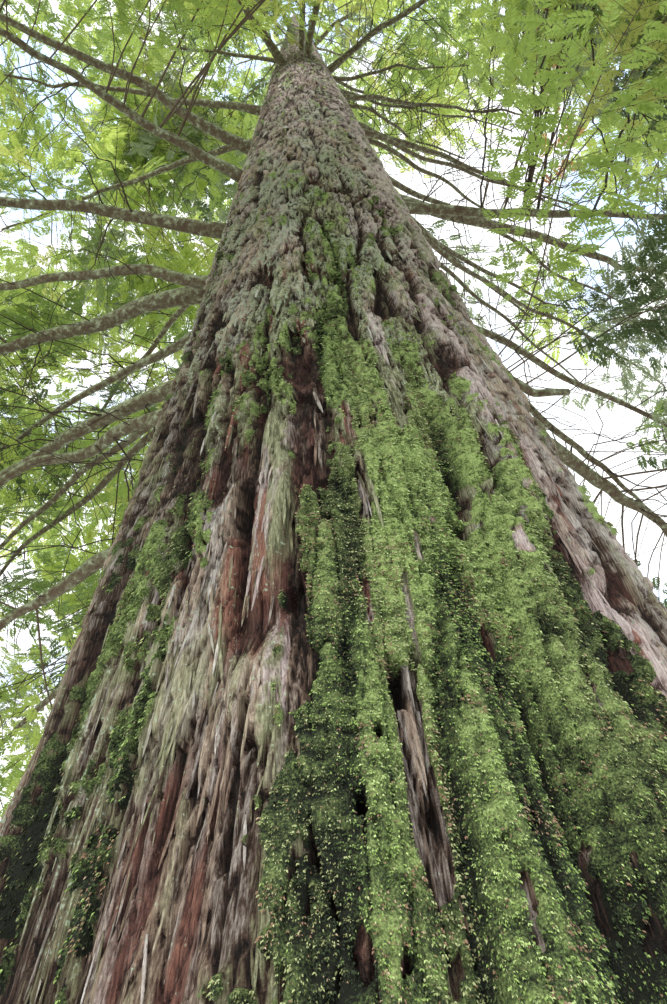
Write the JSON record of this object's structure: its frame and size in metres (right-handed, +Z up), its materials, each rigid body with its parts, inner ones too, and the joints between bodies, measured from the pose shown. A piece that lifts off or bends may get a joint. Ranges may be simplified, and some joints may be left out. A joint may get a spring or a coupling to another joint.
{
  "type": "giant sequoia tree",
  "caption": "Tall living conifer with a massive fluted trunk that flares at the ground, long bare drooping boughs and loose masses of feathery foliage round a narrow conical crown.",
  "frame": {"origin": "the middle of the flat cut under the trunk, at ground level", "axes": "+Z up along the trunk; -Y towards the side from which the picture was taken; +X to the right of the picture"},
  "size_m": [15.9286, 15.1406, 39.1684],
  "materials": {
    "bark": "thick, fibrous, deeply furrowed red-brown bark with moss",
    "bough_bark": "smooth grey-brown bark with small cracks",
    "foliage": "matt green needles"
  },
  "bodies": {
    "root": {"bough_01": "bough_bark", "bough_02": "bough_bark", "bough_03": "bough_bark", "bough_04": "bough_bark", "bough_05": "bough_bark", "bough_06": "bough_bark", "bough_07": "bough_bark", "bough_08": "bough_bark", "bough_09": "bough_bark", "bough_10": "bough_bark", "bough_11": "bough_bark", "bough_12": "bough_bark", "bough_13": "bough_bark", "bough_14": "bough_bark", "bough_15": "bough_bark", "bough_16": "bough_bark", "bough_17": "bough_bark", "bough_18": "bough_bark", "bough_19": "bough_bark", "bough_20": "bough_bark", "bough_21": "bough_bark", "bough_22": "bough_bark", "dead_stub": "bough_bark", "foliage_01": "foliage", "foliage_02": "foliage", "foliage_03": "foliage", "foliage_04": "foliage", "foliage_05": "foliage", "foliage_06": "foliage", "foliage_07": "foliage", "foliage_08": "foliage", "foliage_09": "foliage", "foliage_10": "foliage", "foliage_11": "foliage", "foliage_12": "foliage", "foliage_13": "foliage", "foliage_14": "foliage", "foliage_15": "foliage", "foliage_16": "foliage", "foliage_17": "foliage", "foliage_18": "foliage", "foliage_19": "foliage", "foliage_20": "foliage", "foliage_21": "foliage", "foliage_22": "foliage", "foliage_23": "foliage", "foliage_24": "foliage", "foliage_25": "foliage", "foliage_26": "foliage", "foliage_27": "foliage", "foliage_28": "foliage", "foliage_29": "foliage", "foliage_30": "foliage", "foliage_31": "foliage", "foliage_32": "foliage", "foliage_33": "foliage", "foliage_34": "foliage", "foliage_35": "foliage", "trunk": "bark"}
  },
  "joints": []
}
